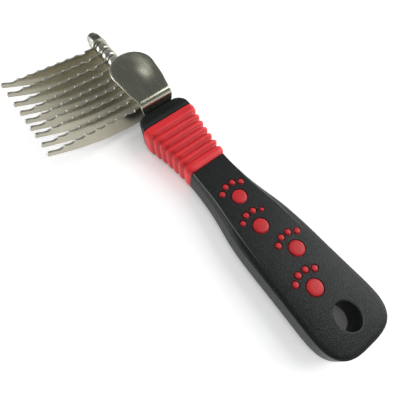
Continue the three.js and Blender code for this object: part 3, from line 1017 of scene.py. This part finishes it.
def thumb_rest():
    """The blank with rounded edges, bent and dished."""
    outline = resample(rest_outline(), REST_POINTS)
    normal = outward(outline, True)
    low, high = outline[:, 1].min(), outline[:, 1].max()
    spine_t = np.clip(outline[:, 1], low + FOOT_RADIUS, high - PADDLE_RADIUS)
    spine = np.stack([np.zeros(len(outline)), spine_t], 1)
    half = PLATE / 2
    rows = []

    def ring(points, height):
        rows.append([bend_sheet(x, t, height) for x, t in points])

    for share in np.linspace(0, 1, REST_RINGS)[:-1]:
        ring(spine + share * (outline - normal * REST_EDGE - spine), half)
    for side, angles in ((1, (90, 60, 30, 0)), (-1, (0, -30, -60, -90))):
        for angle in np.radians(angles):
            height = side * (half - RIM_ROUND) + RIM_ROUND * math.sin(angle)
            ring(outline - normal * RIM_ROUND * (1 - math.cos(angle)), height)
    for share in np.linspace(1, 0, REST_RINGS)[1:]:
        ring(spine + share * (outline - normal * REST_EDGE - spine), -half)
    return loft(rows, caps=False)


finish_mesh("dished_thumb_rest", *thumb_rest(), rest_steel, "satin_steel", "blade_pack", ["thumb_rest"], 50)


# ---------------------------------------------------------------- studio

FLOOR_GLOW = 0.52  # emission of the open floor, which stands for a light table; it fades as painted shadow close under the comb
FLOOR_HALF = 6.0
FLOOR_Z = -0.0005


def floor_material():
    """Pale table that glows in the open, with painted shadow close under the comb, where it turns dark and
    stops glowing.
    """
    n = Nodes("pale_table")
    soft = n.noise(30, 2)
    colour = n.mix(n.spread(soft, 0.3, 0.7, 0.0, 1.0), rgb(0.90, 0.90, 0.90), rgb(0.88, 0.88, 0.885))
    openness = crevice(n, 0.05)
    # painted shadow: the table turns dark where the comb closes it in
    colour = n.mix(n.spread(openness, 0.05, 0.3, 1.0, 0.0), colour, rgb(0.12, 0.12, 0.12))
    # painted shadow: the glow fades under the comb
    glow = n.spread(openness, 0.05, 0.62, 0.0, FLOOR_GLOW)
    return n.set(Base_Color=colour, Roughness=0.4, Specular_IOR_Level=0.3, Emission_Color=rgb(1, 1, 1),
                 Emission_Strength=glow)


def floor():
    mesh = bpy.data.meshes.new("table_top")
    corners = [(FLOOR_HALF * x, FLOOR_HALF * y, 0) for x, y in ((-1, -1), (1, -1), (1, 1), (-1, 1))]
    mesh.from_pydata(corners, [], [(0, 1, 2, 3)])
    mesh.materials.append(floor_material())
    table = bpy.data.objects.new("table_top", mesh)
    bpy.context.scene.collection.objects.link(table)
    table.location.z = FLOOR_Z


def softbox(name, at, towards, size, power):
    """White rectangular light at one point, turned towards another."""
    light = bpy.data.lights.new(name, "AREA")
    light.shape = "RECTANGLE"
    light.size, light.size_y = size
    light.energy = power
    lamp = bpy.data.objects.new(name, light)
    bpy.context.scene.collection.objects.link(lamp)
    lamp.location = at
    lamp.rotation_euler = (Vector(towards) - Vector(at)).to_track_quat("-Z", "Y").to_euler()


def world():
    """White studio walls round the object, dark overhead."""
    sky = bpy.data.worlds.new("studio")
    bpy.context.scene.world = sky
    sky.use_nodes = True
    tree = sky.node_tree
    background = tree.nodes["Background"]
    background.inputs["Color"].default_value = rgb(0.97, 0.985, 1.0)
    direction = tree.nodes.new("ShaderNodeTexCoord")
    split = tree.nodes.new("ShaderNodeSeparateXYZ")
    fade = tree.nodes.new("ShaderNodeMapRange")
    fade.interpolation_type = "SMOOTHSTEP"
    for socket, number in (("From Min", 0.12), ("From Max", 0.45), ("To Min", 0.95), ("To Max", 0.16)):
        fade.inputs[socket].default_value = number
    tree.links.new(direction.outputs["Generated"], split.inputs["Vector"])
    tree.links.new(split.outputs["Z"], fade.inputs["Value"])
    tree.links.new(fade.outputs["Result"], background.inputs["Strength"])


EYE = Vector((-0.0419, -0.0251, 0.1216))
LOOK_AT = Vector((-0.0089, 0.0179, 0.0))
CAMERA_ROLL = math.radians(-0.34)
LENS = 28.35  # millimetres, on a sensor 36 mm wide


def camera():
    """Above and to the left of the grip, looking down along the comb."""
    data = bpy.data.cameras.new("camera")
    data.sensor_width = 36.0
    data.lens = LENS
    data.clip_start = 0.005
    eye = bpy.data.objects.new("camera", data)
    bpy.context.scene.collection.objects.link(eye)
    aim = (LOOK_AT - EYE).to_track_quat("-Z", "Y").to_matrix().to_4x4()
    eye.matrix_world = Matrix.Translation(EYE) @ aim @ Matrix.Rotation(CAMERA_ROLL, 4, "Z")
    bpy.context.scene.camera = eye


floor()
world()
softbox("key_softbox", (0.62, -0.20, 0.80), (0, 0.0, 0), (0.5, 0.6), 5.2)
softbox("side_softbox", (1.10, -0.25, 0.40), (0, 0.0, 0), (1.2, 0.7), 4.5)
softbox("fill_softbox", (-0.76, 0.80, 0.22), (0, 0.06, 0), (0.5, 0.5), 4.6)
softbox("sheen_softbox", (0.07, 0.72, 0.80), (0, 0.07, 0.02), (0.15, 0.30), 0.20)
camera()

scene = bpy.context.scene
scene.view_settings.view_transform = "Standard"
